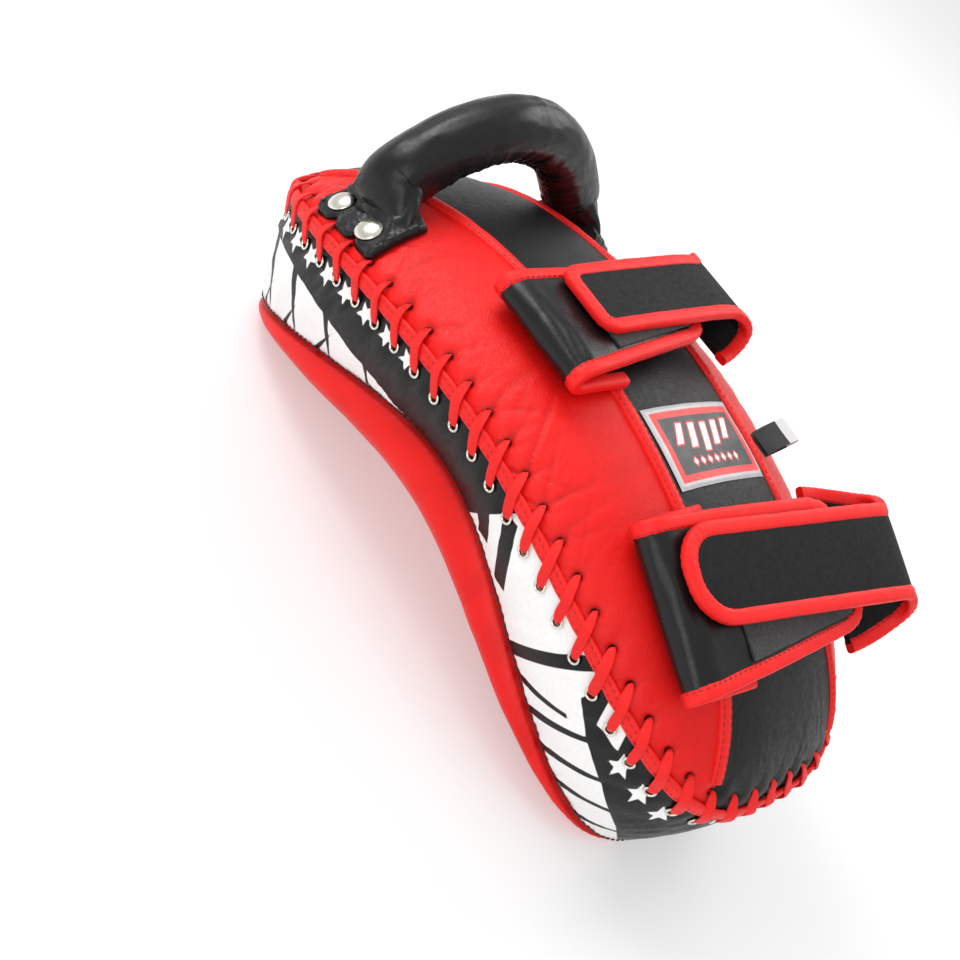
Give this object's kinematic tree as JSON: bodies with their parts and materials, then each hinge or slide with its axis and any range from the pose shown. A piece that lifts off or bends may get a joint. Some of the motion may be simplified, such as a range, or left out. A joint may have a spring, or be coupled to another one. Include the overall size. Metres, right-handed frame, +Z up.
{
  "type": "thai pad",
  "caption": "Curved, foam-filled leather kick and punch pad, laced round its edge, with a padded grip handle and hook-and-loop forearm cuffs.",
  "frame": {"origin": "middle of the pad's plan, on the surface it lies on with its strike face down", "axes": "+X across the pad's width towards the side the cuff straps are sewn to, +Y along its length towards the grip handle, +Z up out of the back, towards the holder's forearm"},
  "size_m": [0.2138, 0.398, 0.1807],
  "materials": {
    "red_leather": "soft full-grain leather, satin gloss, wrinkled round the lace holes",
    "black_leather": "smooth finished leather, satin gloss",
    "printed_leather": null,
    "red_trim": "thin folded leather tape with stitching, satin",
    "red_lace": "flat leather lace, satin",
    "foam": "closed-cell foam, matt",
    "nickel": "polished nickel plate",
    "vent_mesh": "fine black mesh",
    "rope": "twisted rope",
    "label": null,
    "tag": "folded woven tag",
    "loop_tape": "fuzzy loop tape, matt",
    "hook_tape": "hook tape, matt"
  },
  "bodies": {
    "pad": {"strike_face": "red_leather", "strike_foam": "foam", "core_foam": "foam", "backing_foam": "foam", "gusset_left": "printed_leather", "gusset_right": "printed_leather", "back_panel_left": "red_leather", "back_panel_centre": "black_leather", "back_panel_right": "red_leather", "panel_piping_left": "red_trim", "panel_piping_right": "red_trim", "edge_binding": "red_trim", "lace": "red_lace", "lace_eyelets": "nickel", "vent_grommets": "nickel", "vent_meshes": "vent_mesh", "handle_tab_left": "black_leather", "handle_tab_right": "black_leather", "handle_rivets": "nickel", "rivet_washers": "nickel", "label_patch": "label", "side_tag": "tag", "upper_near_flap": "black_leather", "upper_near_binding": "red_trim", "upper_loop_tape": "loop_tape", "lower_near_flap": "black_leather", "lower_near_binding": "red_trim", "lower_loop_tape": "loop_tape"},
    "handle": {"handle_cover": "black_leather", "handle_padding": "foam", "handle_core": "rope"},
    "upper_strap": {"upper_far_flap": "black_leather", "upper_far_binding": "red_trim"},
    "upper_tongue": {"upper_tongue": "black_leather", "upper_tongue_binding": "red_trim", "upper_hook_tape": "hook_tape"},
    "lower_strap": {"lower_far_flap": "black_leather", "lower_far_binding": "red_trim"},
    "lower_tongue": {"lower_tongue": "black_leather", "lower_tongue_binding": "red_trim", "lower_hook_tape": "hook_tape"}
  },
  "joints": [
    {"name": "handle_lean", "type": "hinge", "parent": "pad", "child": "handle", "pos_m": [0, 0.13314, 0.12888], "axis": [1, 0, 0], "range_deg": [-25, 25], "stiffness_Nm_per_rad": 2},
    {"name": "upper_strap", "type": "hinge", "parent": "pad", "child": "upper_strap", "pos_m": [0.047, 0.01925, 0.15344], "axis": [0, 0.9985, -0.055], "range_deg": [0, 35]},
    {"name": "upper_tongue", "type": "hinge", "parent": "upper_strap", "child": "upper_tongue", "pos_m": [0.0465, 0.0206, 0.1779], "axis": [0, 0.9985, -0.055], "range_deg": [0, 110]},
    {"name": "lower_strap", "type": "hinge", "parent": "pad", "child": "lower_strap", "pos_m": [0.047, -0.11848, 0.13481], "axis": [0, 0.9441, 0.3296], "range_deg": [0, 35]},
    {"name": "lower_tongue", "type": "hinge", "parent": "lower_strap", "child": "lower_tongue", "pos_m": [0.0602, -0.13012, 0.16814], "axis": [0, 0.9441, 0.3296], "range_deg": [0, 110]}
  ]
}
